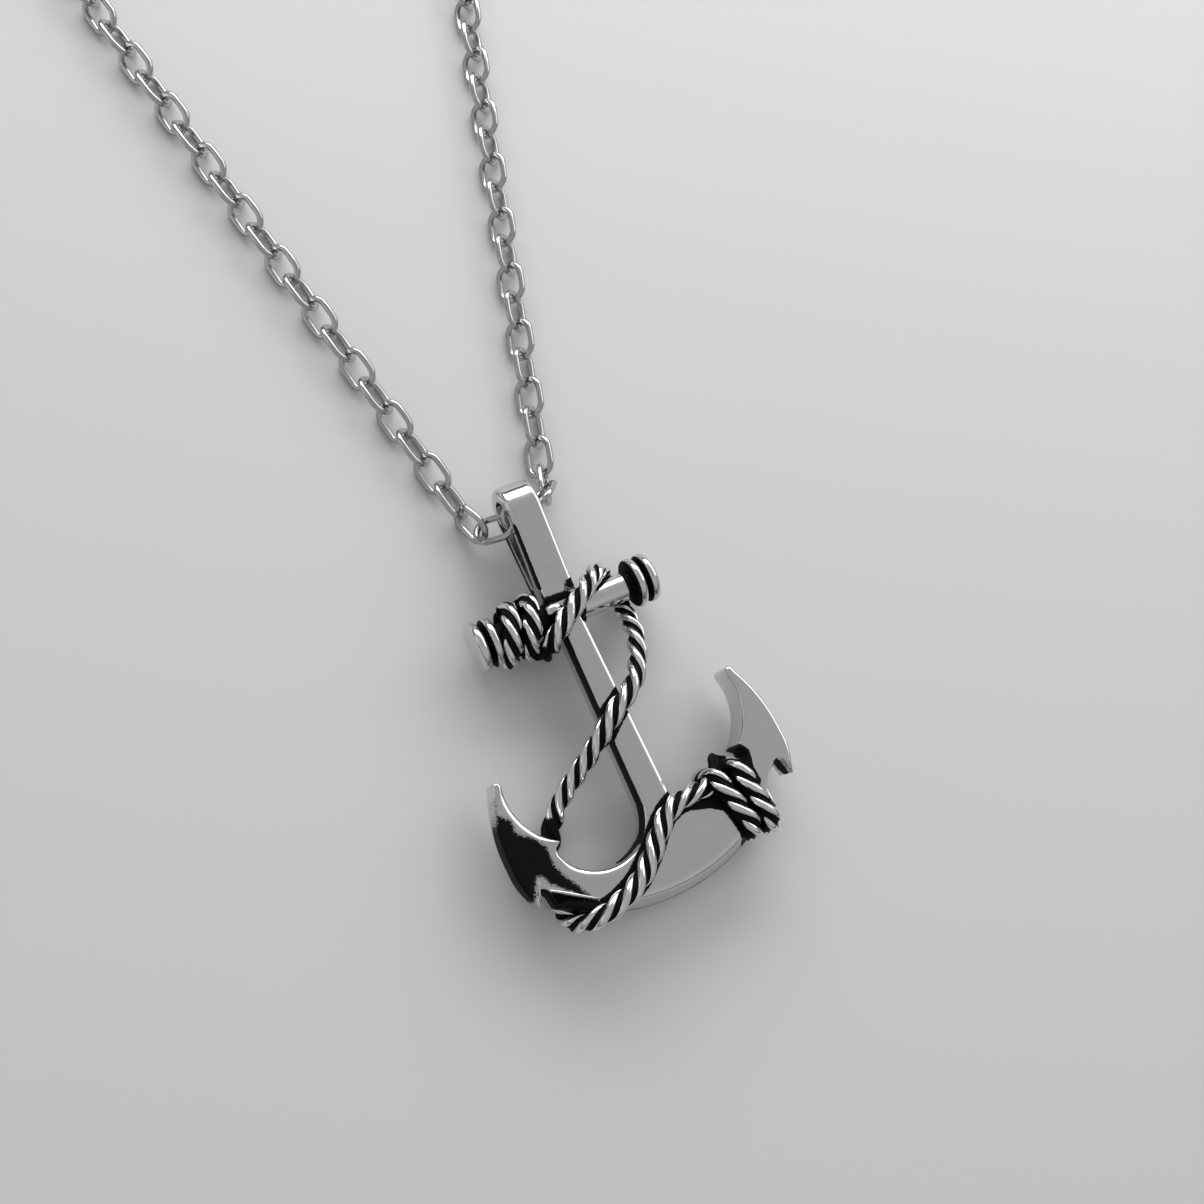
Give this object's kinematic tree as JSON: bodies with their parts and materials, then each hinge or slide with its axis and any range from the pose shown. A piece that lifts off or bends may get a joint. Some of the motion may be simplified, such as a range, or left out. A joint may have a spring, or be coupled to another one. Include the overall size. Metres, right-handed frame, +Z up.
{
  "type": "anchor pendant necklace",
  "caption": "Cast anchor pendant bound with a rope in relief, its folded bail hanging on a fine cable chain with a clasp and end ring, laid on a surface.",
  "frame": {"origin": "bottom centre of the whole necklace as it lies, on the surface", "axes": "+Y from the pendant towards the clasp, parallel to the anchor's shank, +X to the anchor's right, +Z up from the surface"},
  "size_m": [0.0906, 0.2516, 0.0061],
  "materials": {
    "steel": "polished steel, blackened in the recesses of the anchor"
  },
  "bodies": {
    "root": {"anchor_pendant": "steel", "chain_left": "steel", "chain_right": "steel", "clasp": "steel", "end_ring": "steel"}
  },
  "joints": []
}
